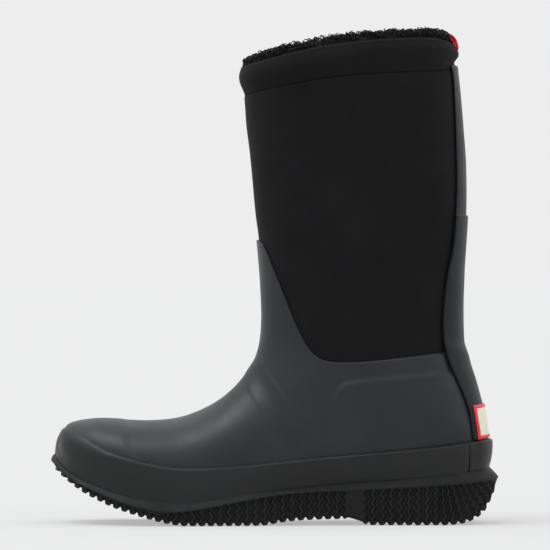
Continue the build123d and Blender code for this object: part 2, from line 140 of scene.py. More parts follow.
# ---- tread ----
RIB_PITCH = 5.7
RIB_DEPTH = 2.1
ZIGZAG = 0.95
ZIGZAG_PERIOD = 5.4
ZIGZAG_START = 40
HEEL_FAN_Y, HEEL_FAN_Z = 104, 58  # the ribs fan about a line at this place
TOE_FAN_Y, TOE_FAN_Z = -56, 118
BREAST_DEPTH = 1.3  # the flat step between the arch and the heel

# ---- foxing, badge, stitching and tab ----
FOXING_ROWS = 36  # mesh rows up the band
FOXING_THICK = 2.5
CAST_START = 6.0  # how far outside the sole's outline the rays start
BADGE_ROWS, BADGE_COLUMNS = 67, 131
BADGE_HALF_HEIGHT = 11.0
BADGE_HALF_ANGLE = 0.66
BADGE_BORDER = 2.3
STITCH_PITCH = 3.1
STITCH_THICK = 0.36
STITCH_END_Y = 111  # the stay covers the seam behind this
TAB_HALF_WIDTH = 9.8


# =============================================================== curves and the boot's wall

def smooth_rows(position, rows):
    """A smooth curve through the rows of a table, at fractional row numbers."""
    count = len(rows)
    index = np.clip(np.floor(position).astype(int), 0, count - 2)
    f = (position - index)[..., None]
    before = rows[np.clip(index - 1, 0, count - 1)]
    start, end = rows[index], rows[index + 1]
    after = rows[np.clip(index + 2, 0, count - 1)]
    return 0.5 * (2 * start + (end - before) * f + (2 * before - 5 * start + 4 * end - after) * f**2
                  + (3 * start - before - 3 * end + after) * f**3)


@functools.lru_cache(maxsize=None)
def smooth_line(line):
    """A line's points joined by a smooth curve, in order along its first value."""
    points = np.array(line, float)
    dense = smooth_rows(np.linspace(0, len(points) - 1, 40 * len(points)), points)
    return dense[np.argsort(dense[:, 0])].T


def line_height(line, along):
    """The second value of a line of points at places along its first, with smooth corners."""
    first, second = smooth_line(tuple(line))
    return np.interp(along, first, second)


def step(value, width):
    """A smooth rise from 0 to 1 as value goes from -width to width."""
    x = np.clip((value / width + 1) / 2, 0, 1)
    return x * x * (3 - 2 * x)


def find_factors():
    """How much longer a layer's depth is along each station's line than straight through the wall."""
    rows = []
    for index, here in enumerate(STATIONS):
        before = STATIONS[max(index - 1, 0)]
        after = STATIONS[min(index + 1, LAST)]
        across = (here[2:4] - here[0:2]) / np.linalg.norm(here[2:4] - here[0:2])
        factors = []
        for end in (0, 2):
            along = after[end:end + 2] - before[end:end + 2]
            turn = abs(across[0] * along[1] - across[1] * along[0]) / np.linalg.norm(along)
            factors.append(1 / max(turn, 0.6))
        rows.append(factors)
    return np.array(rows)


FACTORS = find_factors()


def wall(station, angle, depth):
    """Points on the layer at this depth. All three may be arrays of one shape."""
    station, angle, depth = np.broadcast_arrays(
        np.asarray(station, float), np.asarray(angle, float), np.asarray(depth, float))
    front_y, front_z, back_y, back_z, centre, half, widest, upper, lower = np.moveaxis(
        smooth_rows(station, STATIONS), -1, 0)
    front_factor, back_factor = np.moveaxis(smooth_rows(station, FACTORS), -1, 0)
    length = np.hypot(back_y - front_y, back_z - front_z)
    across_y, across_z = (back_y - front_y) / length, (back_z - front_z) / length
    shift = depth * np.maximum(0, 1 - station / TOE_STATIONS)
    top_y = front_y + shift + across_y * depth * front_factor
    top_z = front_z + across_z * depth * front_factor
    end_y = back_y + shift - across_y * depth * back_factor
    end_z = back_z - across_z * depth * back_factor
    sine, cosine = np.sin(angle), np.cos(angle)
    roundness = np.where(cosine > 0, upper, lower)
    radius = (np.abs(sine)**roundness + np.abs(cosine)**roundness)**(-1 / roundness)
    reach = radius * cosine
    share = np.where(reach > 0, widest - widest * reach, widest - (1 - widest) * reach)
    x = centre + (half - depth) * radius * sine
    return np.stack([x, top_y + share * (end_y - top_y), top_z + share * (end_z - top_z)], -1)


def crossing(angles, depth, line, start, end=LAST, lift=0.0):
    """For each angle, the station where the wall first rises over a side-view line, or that far over it."""
    stations = np.linspace(start, end, 700)
    grid = wall(stations[:, None], angles[None, :], depth)
    over = grid[..., 2] - lift - line_height(line, grid[..., 1])
    first = np.clip((over > 0).argmax(0), 1, None)
    columns = np.arange(len(angles))
    low, high = over[first - 1, columns], over[first, columns]
    share = np.clip(-low / np.where(high == low, 1, high - low), 0, 1)
    return stations[first - 1] + share * (stations[first] - stations[first - 1])


def normals_of(grid, closed_columns):
    """Unit normals of a grid of points, pointing outwards from the boot's wall."""
    if closed_columns:
        across = np.roll(grid, -1, 1) - np.roll(grid, 1, 1)
    else:
        across = np.gradient(grid, axis=1)
    along = np.gradient(grid, axis=0)
    normal = np.cross(across, along)
    return normal / np.maximum(np.linalg.norm(normal, axis=-1, keepdims=True), 1e-9)


def value_noise(points, size, seed):
    """Smooth noise from -1 to 1 over points in millimetres, with blobs of about this size."""
    lattice = np.random.default_rng(seed).uniform(-1, 1, (16, 16, 16))
    place = points / size
    cell = np.floor(place).astype(int)
    f = place - cell
    f = f * f * (3 - 2 * f)
    total = np.zeros(points.shape[:-1])
    for corner in range(8):
        dx, dy, dz = corner & 1, corner >> 1 & 1, corner >> 2 & 1
        weight = ((f[..., 0] if dx else 1 - f[..., 0]) * (f[..., 1] if dy else 1 - f[..., 1])
                  * (f[..., 2] if dz else 1 - f[..., 2]))
        near = (cell + (dx, dy, dz)) % 16
        total += weight * lattice[near[..., 0], near[..., 1], near[..., 2]]
    return total


# =============================================================== meshes

def add_object(name, data):
    """A new object in the scene."""
    obj = bpy.data.objects.new(name, data)
    bpy.context.scene.collection.objects.link(obj)
    return obj


def place_mesh(name, mesh, material):
    """A smoothly shaded object of one material, from a finished mesh."""
    mesh.polygons.foreach_set("use_smooth", np.ones(len(mesh.polygons), bool))
    mesh.materials.clear()
    mesh.materials.append(material)
    return add_object(name, mesh)


def make_object(name, points, faces, material):
    """A mesh object from points in millimetres and faces as index lists."""
    mesh = bpy.data.meshes.new(name)
    mesh.from_pydata((np.asarray(points) * MM).tolist(), [], [tuple(int(i) for i in f) for f in faces])
    mesh.validate()
    mesh.update()
    return place_mesh(name, mesh, material)


def grid_faces(rows, columns, wrap_rows=False, wrap_columns=True, offset=0):
    """Quads over a grid stored row by row."""
    down = np.arange(rows if wrap_rows else rows - 1)
    right = np.arange(columns if wrap_columns else columns - 1)
    i, j = np.meshgrid(down, right, indexing="ij")
    i, j = i.ravel(), j.ravel()
    i2, j2 = (i + 1) % rows, (j + 1) % columns
    return np.stack([i * columns + j, i * columns + j2, i2 * columns + j2, i2 * columns + j], 1) + offset


def make_tube_shell(name, rings, material):
    """A closed shell: rings of points that run up the outside, over the edge and back down the inside."""
    rows, columns = rings.shape[:2]
    faces = grid_faces(rows, columns, wrap_rows=True)[:, ::-1]
    return make_object(name, rings.reshape(-1, 3), faces, material)


def make_strip(name, outer, inner, material):
    """A closed strip between an outer and an inner grid of the same shape."""
    rows, columns = outer.shape[:2]
    faces = [grid_faces(rows, columns, wrap_columns=False)[:, ::-1],
             grid_faces(rows, columns, wrap_columns=False, offset=rows * columns)]
    rim = ([(0, j) for j in range(columns)] + [(i, columns - 1) for i in range(1, rows)]
           + [(rows - 1, j) for j in range(columns - 2, -1, -1)] + [(i, 0) for i in range(rows - 2, 0, -1)])
    loop = np.array([i * columns + j for i, j in rim])
    after = np.roll(loop, -1)
    faces.append(np.stack([loop, after, after + rows * columns, loop + rows * columns], 1))
    points = np.concatenate([outer.reshape(-1, 3), inner.reshape(-1, 3)])
    return make_object(name, points, np.concatenate(faces), material)


def add_tube(points, faces, middle, width, across, up, sides):
    """Adds a thin closed tube round a line, from its middles and widths and two directions across it."""
    a = 2 * math.pi * np.arange(sides)[:, None] / sides
    across, up = np.atleast_2d(across)[:, None], np.atleast_2d(up)[:, None]
    rings = middle[:, None] + width[:, None] * (across * np.cos(a) + up * np.sin(a))
    first = len(points)
    points.extend(rings.reshape(-1, 3))
    faces.extend(grid_faces(len(rings), sides, offset=first).tolist())
    faces.append(list(range(first, first + sides))[::-1])
    faces.append(list(range(len(points) - sides, len(points))))


def rolled_edge(outer, inner, lift, count):
    """Rings that turn over from an outer edge to an inner one, over a top that is this far above them."""
    middle, half = (outer + inner) / 2, (outer - inner) / 2
    turn = np.linspace(0, math.pi, count)[1:-1, None, None]
    return middle + half * np.cos(turn) + np.array([0, 0, lift]) * np.sin(turn)


def to_ends(count):
    """How many steps each of a row of points is from the nearer end."""
    return np.minimum(np.arange(count), np.arange(count)[::-1])


def edge_rounding(rows, columns, radius):
    """How far each point of a strip's outer grid drops towards its edges: 0 inside, 1 at the edge."""
    near = 1 - np.clip(np.minimum(to_ends(rows)[:, None], to_ends(columns)) / radius, 0, 1)
    return 1 - np.sqrt(np.clip(1 - near**2, 0, 1))


def surface_tree(obj):
    """A ray-cast tree of an object's mesh, in metres."""
    corners = [v.co.copy() for v in obj.data.vertices]
    return BVHTree.FromPolygons(corners, [tuple(p.vertices) for p in obj.data.polygons])


# =============================================================== materials

def new_material(name):
    """A material, its node tree and its shader."""
    material = bpy.data.materials.new(name)
    material.use_nodes = True
    tree = material.node_tree
    return material, tree, tree.nodes["Principled BSDF"]


def set_inputs(node, values):
    """Sets a node's own sockets, by name."""
    for name, value in values.items():
        node.inputs[name].default_value = value


def add_axes(tree, space="Object"):
    """The X, Y and Z of the shaded place, as sockets."""
    split = tree.nodes.new("ShaderNodeSeparateXYZ")
    tree.links.new(tree.nodes.new("ShaderNodeTexCoord").outputs[space], split.inputs[0])
    return split.outputs


def add_noise(tree, scale, detail, rough):
    """A noise texture in object space."""
    noise = tree.nodes.new("ShaderNodeTexNoise")
    set_inputs(noise, {"Scale": scale, "Detail": detail, "Roughness": rough})
    tree.links.new(tree.nodes.new("ShaderNodeTexCoord").outputs["Object"], noise.inputs["Vector"])
    return noise.outputs["Fac"]


def map_values(tree, value, low, high, to_low=0, to_high=1):
    """A value mapped from one range to another and held inside it."""
    node = tree.nodes.new("ShaderNodeMapRange")
    set_inputs(node, {"From Min": low, "From Max": high, "To Min": to_low, "To Max": to_high})
    tree.links.new(value, node.inputs["Value"])
    return node.outputs["Result"]


def mix_colours(tree, factor, first, second):
    """A blend of two colours, each a socket or an RGB tuple."""
    node = tree.nodes.new("ShaderNodeMix")
    node.data_type = "RGBA"
    tree.links.new(factor, node.inputs[0])
    for socket, colour in ((node.inputs[6], first), (node.inputs[7], second)):
        if isinstance(colour, tuple):
            socket.default_value = (*colour, 1)
        else:
            tree.links.new(colour, socket)
    return node.outputs[2]


def paint(tree, shader, factor, first, second):
    """Gives the shader a base colour that is a blend of two."""
    tree.links.new(mix_colours(tree, factor, first, second), shader.inputs["Base Color"])


def add_maths(tree, operation, first, second):
    """One maths node on sockets or numbers."""
    node = tree.nodes.new("ShaderNodeMath")
    node.operation = operation
    for socket, value in ((node.inputs[0], first), (node.inputs[1], second)):
        if isinstance(value, (int, float)):
            socket.default_value = value
        else:
            tree.links.new(value, socket)
    return node.outputs[0]


def add_waves(tree, value, length):
    """A sine wave of this length, in metres, along a value."""
    return add_maths(tree, "SINE", add_maths(tree, "MULTIPLY", value, 2 * math.pi / length), 0.0)


def add_weighted(tree, first, first_weight, second, second_weight):
    """Two values, each times its weight, added up."""
    return add_maths(tree, "ADD", add_maths(tree, "MULTIPLY", first, first_weight),
                     add_maths(tree, "MULTIPLY", second, second_weight))


def vary_roughness(tree, shader, value, low, high):
    """Roughness that follows a noise between two values."""
    tree.links.new(map_values(tree, value, 0.3, 0.7, low, high), shader.inputs["Roughness"])


def add_bump(tree, shader, height, distance, strength):
    """Bump from a height socket, its distance in metres."""
    bump = tree.nodes.new("ShaderNodeBump")
    set_inputs(bump, {"Distance": distance, "Strength": strength})
    tree.links.new(height, bump.inputs["Height"])
    tree.links.new(bump.outputs["Normal"], shader.inputs["Normal"])


def make_rubber(name, dark, light, roughness, gloss=0.30, grain=0.00003, dust=0.0):
    """Vulcanised rubber: slow mottling, paler sharp edges, patchy gloss, fine grain and perhaps some dust."""
    material, tree, shader = new_material(name)
    broad = add_noise(tree, 26, 5, 0.55)
    fine = add_noise(tree, 900, 3, 0.6)
    colour = mix_colours(tree, map_values(tree, broad, 0.35, 0.68), dark, light)
    # colour made paler where the surface turns over a sharp outward edge, from Pointiness
    edge = tree.nodes.new("ShaderNodeNewGeometry").outputs["Pointiness"]
    edge_paling = map_values(tree, edge, 0.53, 0.62, 0, 0.45)
    colour = mix_colours(tree, edge_paling, colour, tuple(min(1.0, c * 1.7 + 0.01) for c in light))
    if dust > 0:
        speck = map_values(tree, add_noise(tree, 420, 6, 0.7), 0.56, 0.72, 0, dust)
        colour = mix_colours(tree, speck, colour, (0.16, 0.16, 0.155))
    tree.links.new(colour, shader.inputs["Base Color"])
    patchy = add_noise(tree, 60, 6, 0.6)
    vary_roughness(tree, shader, patchy, roughness - 0.05, roughness + 0.07)
    set_inputs(shader, {"Specular IOR Level": gloss})
    add_bump(tree, shader, add_weighted(tree, fine, 1.0, patchy, 1.5), grain, 0.6)
    return material


def make_neoprene():
    """Jersey-faced neoprene: fine knit courses, a short nap, slow unevenness and a little lint."""
    material, tree, shader = new_material("neoprene_jersey")
    axes = add_axes(tree)
    courses = add_waves(tree, axes["Z"], 0.0009)
    wales = add_maths(tree, "ADD", add_waves(tree, axes["X"], 0.0011), add_waves(tree, axes["Y"], 0.0011))
    knit = add_weighted(tree, courses, 1.0, wales, 0.6)
    fuzz = add_noise(tree, 1500, 4, 0.7)
    broad = add_noise(tree, 34, 5, 0.6)
    shade = add_weighted(tree, fuzz, 0.7, broad, 0.5)
    colour = mix_colours(tree, map_values(tree, shade, 0.4, 0.85), (0.0042, 0.0038, 0.0044),
                         (0.0105, 0.0094, 0.0106))
    lint = map_values(tree, add_noise(tree, 260, 8, 0.8), 0.70, 0.78, 0, 0.22)
    paint(tree, shader, lint, colour, (0.075, 0.072, 0.075))
    vary_roughness(tree, shader, fuzz, 0.82, 0.95)
    set_inputs(shader, {"Specular IOR Level": 0.12, "Sheen Weight": 0.05, "Sheen Roughness": 0.45,
                        "Sheen Tint": (0.62, 0.60, 0.66, 1)})
    add_bump(tree, shader, add_weighted(tree, knit, 0.3, fuzz, 1.6), 0.00010, 0.7)
    return material


def make_pile(name, tip):
    """Curly synthetic pile: near black, with a paler colour on patches of the curls as painted highlight."""
    material, tree, shader = new_material(name)
    curl = add_noise(tree, 700, 3, 0.6)
    patch = add_noise(tree, 90, 3, 0.5)
    mixed = add_weighted(tree, curl, 0.7, patch, 0.3)
    # the paler tip colour is painted highlight, laid on patches by noise
    paint(tree, shader, map_values(tree, mixed, 0.50, 0.66), (0.0050, 0.0045, 0.0043), tip)
    vary_roughness(tree, shader, curl, 0.55, 0.8)
    set_inputs(shader, {"Specular IOR Level": 0.16, "Sheen Weight": 0.04, "Sheen Roughness": 0.4,
                        "Sheen Tint": (0.75, 0.70, 0.66, 1)})
    add_bump(tree, shader, curl, 0.0004, 0.7)
    return material


def make_webbing():
    """Red woven webbing: fine lengthwise warps, slightly fuzzy."""
    material, tree, shader = new_material("webbing_red")
    warp = add_waves(tree, add_axes(tree)["X"], 0.0012)
    fuzz = add_noise(tree, 1800, 3, 0.6)
    shade = add_weighted(tree, warp, 0.25, fuzz, 1.0)
    paint(tree, shader, map_values(tree, shade, 0.3, 0.9), (0.50, 0.012, 0.026), (0.74, 0.034, 0.060))
    vary_roughness(tree, shader, fuzz, 0.6, 0.8)
    set_inputs(shader, {"Sheen Weight": 0.3, "Sheen Roughness": 0.4, "Sheen Tint": (1.0, 0.45, 0.45, 1)})
    add_bump(tree, shader, shade, 0.00015, 0.6)
    return material


def make_plain(name, dark, light, roughness, scale=300, gloss=0.5):
    """A quiet two-tone surface with fine bump, for the hidden and small pieces."""
    material, tree, shader = new_material(name)
    noise = add_noise(tree, scale, 5, 0.6)
    paint(tree, shader, map_values(tree, noise, 0.35, 0.65), dark, light)
    vary_roughness(tree, shader, noise, roughness - 0.06, roughness + 0.06)
    set_inputs(shader, {"Specular IOR Level": gloss})
    add_bump(tree, shader, noise, 0.00008, 0.5)
    return material


MAT = {
    "upper": make_rubber("upper_rubber", (0.0112, 0.0128, 0.0144), (0.0146, 0.0167, 0.0188), 0.42),
    "foxing": make_rubber("foxing_rubber", (0.0086, 0.0090, 0.0097), (0.0118, 0.0123, 0.0134), 0.46, 0.27),
    "stay": make_rubber("stay_rubber", (0.0058, 0.0070, 0.0083), (0.0078, 0.0094, 0.0110), 0.43, 0.20),
    "outsole": make_rubber("outsole_rubber", (0.0040, 0.0042, 0.0045), (0.0072, 0.0076, 0.0081), 0.55, 0.20,
                            0.00006, 0.05),
    "badge_red": make_rubber("badge_red", (0.66, 0.020, 0.032), (0.74, 0.030, 0.045), 0.42, 0.4, 0.00002),
    "badge_cream": make_rubber("badge_cream", (0.67, 0.68, 0.53), (0.74, 0.75, 0.60), 0.50, 0.4, 0.00004),
    "neoprene": make_neoprene(),
    # paler tip colour: painted highlight on the curls
    "pile": make_pile("pile_black", (0.045, 0.040, 0.036)),
    # the same pile with a dimmer pale colour: painted shade for the backing under the curls and the linings
    # inside
    "pile_shaded": make_pile("pile_backing", (0.020, 0.018, 0.017)),
    # black yarn of the stitches made darker than the cloth: partly its own colour, partly painted shade of
    # the sunk seam
    "thread": make_plain("hem_thread", (0.0006, 0.0006, 0.0007), (0.0018, 0.0018, 0.0020), 0.9, 3000, 0.02),
    "webbing": make_webbing(),
    "stiffener": make_plain("stiffener_sheet", (0.07, 0.07, 0.072), (0.11, 0.11, 0.112), 0.75),
    "board": make_plain("fibre_board", (0.30, 0.24, 0.17), (0.46, 0.38, 0.28), 0.85),
    "filler": make_plain("filler_sheet", (0.09, 0.09, 0.09), (0.14, 0.14, 0.14), 0.8),
    "foam": make_plain("footbed_foam", (0.12, 0.12, 0.125), (0.17, 0.17, 0.175), 0.9, 900),
    "steel": make_plain("shank_steel", (0.42, 0.43, 0.44), (0.55, 0.56, 0.57), 0.35, 120),
}
set_inputs(MAT["steel"].node_tree.nodes["Principled BSDF"], {"Metallic": 1.0})


# =============================================================== the rubber upper

COLUMNS = 440
ANGLES = np.linspace(0, 2 * math.pi, COLUMNS, endpoint=False)


def tube_rings(start, end, count, depth):
    """Rings round the boot at one depth, evenly spaced from a start to an end station at each angle."""
    return wall(start + (end - start) * np.linspace(0, 1, count)[:, None], ANGLES, depth)


def relief(points):
    """How far the parts inside press the rubber out, and the soft crease over the instep, in millimetres."""
    y, z = points[..., 1], points[..., 2]
    puff_edge = line_height([(20, -78), (34, -84), (41, -86.5), (46, -90), (54, -94), (70, -97)], z)
    puff = step(puff_edge - y, 3.2) * 0.50
    left = line_height([(20, 1), (42, -1), (69, -7), (87, -16.5), (110, -20)], z)
    right = line_height([(20, 23), (49, 19), (56, 15), (79, 8), (99, -5), (112, -8)], z)
    crease = -0.95 * np.exp(-((y - (left + right) / 2) / 7.5)**2) * step(116 - z, 14) * step(z - 42, 10)
    band = 0.35 * step(y - left, 1.2) * step(right - y, 1.5) * step(103 - z, 3) + crease
    top = line_height([(30, 62), (37.5, 80), (42, 88), (50, 91), (80, 94.3), (113, 96.8), (140, 98.8)], y)
    counter = step(y - 37.5, 3.5) * step(top - z, 2.4) * 1.3
    return puff + band + counter


def make_vamp():
    """Foot and shin in one sheet of rubber, with the inner parts' edges showing through."""
    edge = crossing(ANGLES, 0.0, VAMP_TOP, *VAMP_EDGE_SPAN)
    shoulder = crossing(ANGLES, 0.0, VAMP_TOP, *VAMP_EDGE_SPAN, -1.1)
    body = tube_rings(TIP_STATION, shoulder, 300, 0.0)
    normal = normals_of(body, True)
    wobble = 0.10 * value_noise(body, 24, 3) + 0.035 * value_noise(body, 7, 4)
    body = body + normal * (relief(body) + wobble)[..., None]
    turn = np.linspace(0, math.pi / 2, 6)[1:, None]
    lip = wall(shoulder + (edge - shoulder) * np.sin(turn), ANGLES, RUBBER * 0.9 * (1 - np.cos(turn)))
    inside = tube_rings(shoulder, TIP_STATION, 90, RUBBER)
    return make_tube_shell("rubber_vamp_shell", np.concatenate([body, lip, inside]), MAT["upper"])


# =============================================================== the neoprene leg

def hem_shape(points):
    """How far the leg's outer face stands out: a full turned hem over a pinched seam."""
    y, z = points[..., 1], points[..., 2]
    seam, rim = line_height(HEM_SEAM, y), line_height(RIM, y)
    share = (z - seam) / (rim - seam)
    hump = 2.8 * np.sin(np.clip(share * 1.05 - 0.09, 0, 1)**1.15 * math.pi)
    pinch = -0.55 * np.exp(-((z - seam) / 1.1)**2)
    swell = 0.35 * np.exp(-((z - seam) / 7)**2)
    fold = -1.5 * np.exp(-((z - STAY_TOP_Z - 2.0) / 2.2)**2) * step(y - 109, 4)
    return hump + pinch + swell + fold


def leg_softness(points):
    """Slow dips and swells of cloth that hangs from its hem, in millimetres."""
    slow = value_noise(points * np.array([1, 1, 0.45]), 30, 8)
    fine = value_noise(points * np.array([1, 1, 0.7]), 11, 9)
    return 0.40 * slow + 0.12 * fine


def make_neoprene_leg():
    """The stretch leg: one closed tube of cloth, tucked into the rubber and turned over at the rim."""
    low = crossing(ANGLES, NEOPRENE_OUT, VAMP_TOP, *VAMP_EDGE_SPAN, -TUCK)
    high = crossing(ANGLES, NEOPRENE_OUT, RIM, 20, lift=-2.0)
    body = tube_rings(low, high, 250, NEOPRENE_OUT)
    normal = normals_of(body, True)
    fade = step(body[..., 2] - line_height(VAMP_TOP, body[..., 1]) - 9, 8)
    behind_stay = 1 - step(body[..., 1] - line_height(STAY_FRONT, body[..., 2]) + 3, 4)
    free = np.maximum(behind_stay, step(body[..., 2] - STAY_TOP_Z - 1, 2))
    puffed = hem_shape(body) * np.maximum(free, step(body[..., 2] - STAY_TOP_Z + 1, 3))
    body = body + normal * (puffed + fade * free * leg_softness(body))[..., None]
    roll = rolled_edge(body[-1], wall(high, ANGLES, NEOPRENE_IN + 0.1), 2.3, 12)
    inside = tube_rings(high, low, 70, NEOPRENE_IN)
    return make_tube_shell("neoprene_leg_cloth", np.concatenate([body, roll, inside]), MAT["neoprene"])


def make_stitches(leg_surface):
    """Separate stitches lying in the hem's pinched seam."""
    tree = surface_tree(leg_surface)
    ring_angles = np.linspace(0, 2 * math.pi, 2400, endpoint=False)
    at_seam = crossing(ring_angles, NEOPRENE_OUT, HEM_SEAM, 20)
    ring = wall(at_seam, ring_angles, NEOPRENE_OUT)
    travelled = np.cumsum(np.linalg.norm(np.diff(ring, axis=0, append=ring[:1]), axis=1))
    points, faces = [], []
    s = np.linspace(-1, 1, 9)[:, None]
    swell = np.sqrt(np.maximum(1 - np.abs(s)**4, 0.02))
    for number in range(int(travelled[-1] / STITCH_PITCH)):
        here = np.searchsorted(travelled, (number + 0.5) * STITCH_PITCH)
        centre = ring[here % len(ring)]
        if centre[1] > STITCH_END_Y:
            continue
        along = ring[(here + 6) % len(ring)] - ring[(here - 6) % len(ring)]
        along = along / np.linalg.norm(along)
        found = tree.find_nearest(Vector(centre * MM), 0.02)
        out = np.array(found[1])
        base = np.array(found[0]) / MM
        up = np.cross(out, along)
        half = 1.05 + 0.1 * RNG.uniform(-1, 1)
        middle = base + along * half * s + out * (0.22 - 0.30 * s * s) + up * 0.10 * s
        add_tube(points, faces, middle, STITCH_THICK * swell, out, up, 8)
    return make_object("hem_stitches", np.array(points), faces, MAT["thread"])


# =============================================================== the pile lining

def make_pile_backing():
    """The lining's lumpy body, from the joint with the foot's lining to just over the hem."""
    low = crossing(ANGLES, PILE_OUT, VAMP_TOP, *VAMP_EDGE_SPAN, -12.5)
    high = crossing(ANGLES, PILE_OUT, RIM, 20, lift=PILE_ABOVE_RIM - 1.5)
    outside = tube_rings(low, high, 60, PILE_OUT)
    inside = tube_rings(high, low, 230, PILE_IN)
    lumps = 0.55 * value_noise(inside, 4.2, 21) + 0.5 * value_noise(inside, 2.3, 22)
    inside = inside + normals_of(inside, True) * lumps[..., None]
    roll = rolled_edge(outside[-1], inside[0], 1.8, 9)
    roll = roll + 0.5 * value_noise(roll, 3.0, 23)[..., None] * np.array([0, 0, 1.0])
    shell = np.concatenate([outside, roll, inside])
    pressed = np.minimum(shell[..., 2], TAB_DIP_Z - 0.4) - shell[..., 2]
    shell[..., 2] += pressed * under_tab(shell)
    return make_tube_shell("leg_lining_pile", shell, MAT["pile_shaded"])


def under_tab(points):
    """1 where the pull tab lies over the pile at the back of the rim, and 0 elsewhere."""
    return step(11.2 - np.abs(points[..., 0]), 1.0) * step(points[..., 1] - 85, 4)


def add_curl(points, faces, centre, axis, radius, thick, turns, pitch, phase):
    """One curl of yarn: a short helix as a thin tube."""
    axis = axis / np.linalg.norm(axis)
    side = np.cross(axis, (0.31, 0.52, 0.79))
    side = side / np.linalg.norm(side)
    other = np.cross(axis, side)
    s = np.linspace(0, 1, int(7 * turns) + 3)[:, None]
    a = phase + 2 * math.pi * turns * s
    radial = side * np.cos(a) + other * np.sin(a)
    middle = centre + radial * radius + axis * pitch * (s - 0.5)
    up = np.cross(other * np.cos(a) - side * np.sin(a), radial)
    width = thick * (0.55 + 0.45 * np.sin(math.pi * np.clip(s, 0.08, 0.92)))
    add_tube(points, faces, middle, width, radial, up, 4)


def make_curls(name, count, depths, heights, size, seed):
    """A band of curls round the leg: between two depths, and between two heights measured from the rim."""
    rng = np.random.default_rng(seed)
    angles = rng.uniform(0, 2 * math.pi, count)
    depth = rng.uniform(*depths, count)
    clump = value_noise(np.stack([50 * np.cos(angles), 50 * np.sin(angles), 3 * depth], -1), 8, seed)
    front = np.exp(-((np.mod(angles + math.pi, 2 * math.pi) - math.pi) / 0.32)**2)
    back = np.exp(-((angles - math.pi) / 0.42)**2)
    drop = rng.uniform(*heights, count) + 1.4 * clump - 2.2 * front
    depth = depth - 1.6 * front - 2.2 * back
    centres = wall(crossing(angles, depth, RIM, 17, lift=drop), angles, depth)
    pressed = under_tab(centres) > 0.5
    centres[:, 2] = np.where(pressed, np.minimum(centres[:, 2], TAB_DIP_Z - 2.0), centres[:, 2])
    centres = centres[~pressed | (depth < 7.8) | (centres[:, 2] < TAB_DIP_Z - 34)]
    points, faces = [], []
    for centre in centres:
        axis = rng.normal(size=3)
        add_curl(points, faces, centre, axis, size * rng.uniform(0.55, 1.0), 0.34 * rng.uniform(0.8, 1.25),
                 rng.uniform(0.8, 1.5), rng.uniform(0.6, 2.2), rng.uniform(0, 2 * math.pi))
    return make_object(name, np.array(points), faces, MAT["pile"])


# =============================================================== strips up the back

def stay_depth(station, over_rubber, over_cloth):
    """The strip's depth, which steps in where it leaves the rubber's top edge for the cloth."""
    return over_rubber + (over_cloth - over_rubber) * step(station - STAY_STEP_STATION, 0.22)


def back_grid(low_z, high_z, rows, columns, over_rubber, over_cloth, inset):
    """Points on the back strip between two heights at its centre line, as rows across the strip."""
    stations = np.linspace(STAY_FOOT_STATION, LAST, 900)
    centre = wall(stations, math.pi, stay_depth(stations, over_rubber, over_cloth))
    chosen = np.interp(np.linspace(low_z, high_z, rows), centre[:, 2], stations)
    spread = np.linspace(0, 1.25, 500)
    grid = np.zeros((rows, columns, 3))
    for number, station in enumerate(chosen):
        depth = stay_depth(np.array(station), over_rubber, over_cloth)
        ray = wall(station, math.pi - spread, depth)
        short = ray[:, 1] - (line_height(STAY_FRONT, ray[:, 2]) + inset)
        edge = spread[max((short < 0).argmax(), 1)]
        grid[number] = wall(station, math.pi - np.linspace(-edge, edge, columns), depth)
    return grid


def make_back_strip(name, low_z, high_z, outer_depths, thickness, inset, material, rows=260):
    """A strip of rubber with soft edges, following the boot's back."""
    columns = 61
    outer = back_grid(low_z, high_z, rows, columns, *outer_depths, inset)
    inner = back_grid(low_z, high_z, rows, columns, *(d + thickness for d in outer_depths), inset)
    drop = edge_rounding(rows, columns, 2)[..., None]
    outer = outer + (inner - outer) * drop * 0.75
    outer = outer + normals_of(outer, False) * (0.05 * value_noise(outer, 9, 31))[..., None]
    return make_strip(name, outer, inner, material)


# =============================================================== foxing and badge

def outline_ring(count):
    """Evenly spaced points of the outsole's outline with their inward directions, in plan."""
    loop = np.array(OUTLINE, float)
    padded = np.concatenate([loop[-2:], loop, loop[:3]])
    dense = smooth_rows(np.linspace(2, len(loop) + 2, 6000, endpoint=False), padded)
    steps = np.linalg.norm(np.diff(dense, axis=0, append=dense[:1]), axis=1)
    travelled = np.concatenate([[0], np.cumsum(steps)])
    closed = np.concatenate([dense, dense[:1]])
    wanted = np.linspace(0, travelled[-1], count, endpoint=False)
    ring = np.stack([np.interp(wanted, travelled, closed[:, k]) for k in (0, 1)], 1)
    tangent = np.roll(ring, -2, 0) - np.roll(ring, 2, 0)
    inward = np.stack([tangent[:, 1], -tangent[:, 0]], 1)
    inward = inward / np.linalg.norm(inward, axis=1, keepdims=True)
    inward[(ring * inward).sum(1) > 0] *= -1
    return ring, inward


def cast_inwards(trees, point, direction):
    """The first place where a ray meets one of the surfaces, in millimetres, or None."""
    best = None
    for tree in trees:
        hit = tree.ray_cast(Vector(point * MM), Vector(direction), 0.09)
        if hit[0] is not None and (best is None or hit[3] < best[3]):
            best = hit
    return None if best is None else np.array(best[0]) / MM


def near_ends(y):
    """How far a place has come into the sole's heel end and into its toe end, each from 0 to 1."""
    return step(y - SOLE_END_Y, SOLE_END_BLEND), step(-SOLE_END_Y - y, SOLE_END_BLEND)


def deck_inset(y):
    """How far the sole's top edge lies inside its widest outline, which is most behind the heel."""
    heel_end, toe_end = near_ends(y)
    return 2.9 + 3.3 * heel_end - 0.4 * toe_end


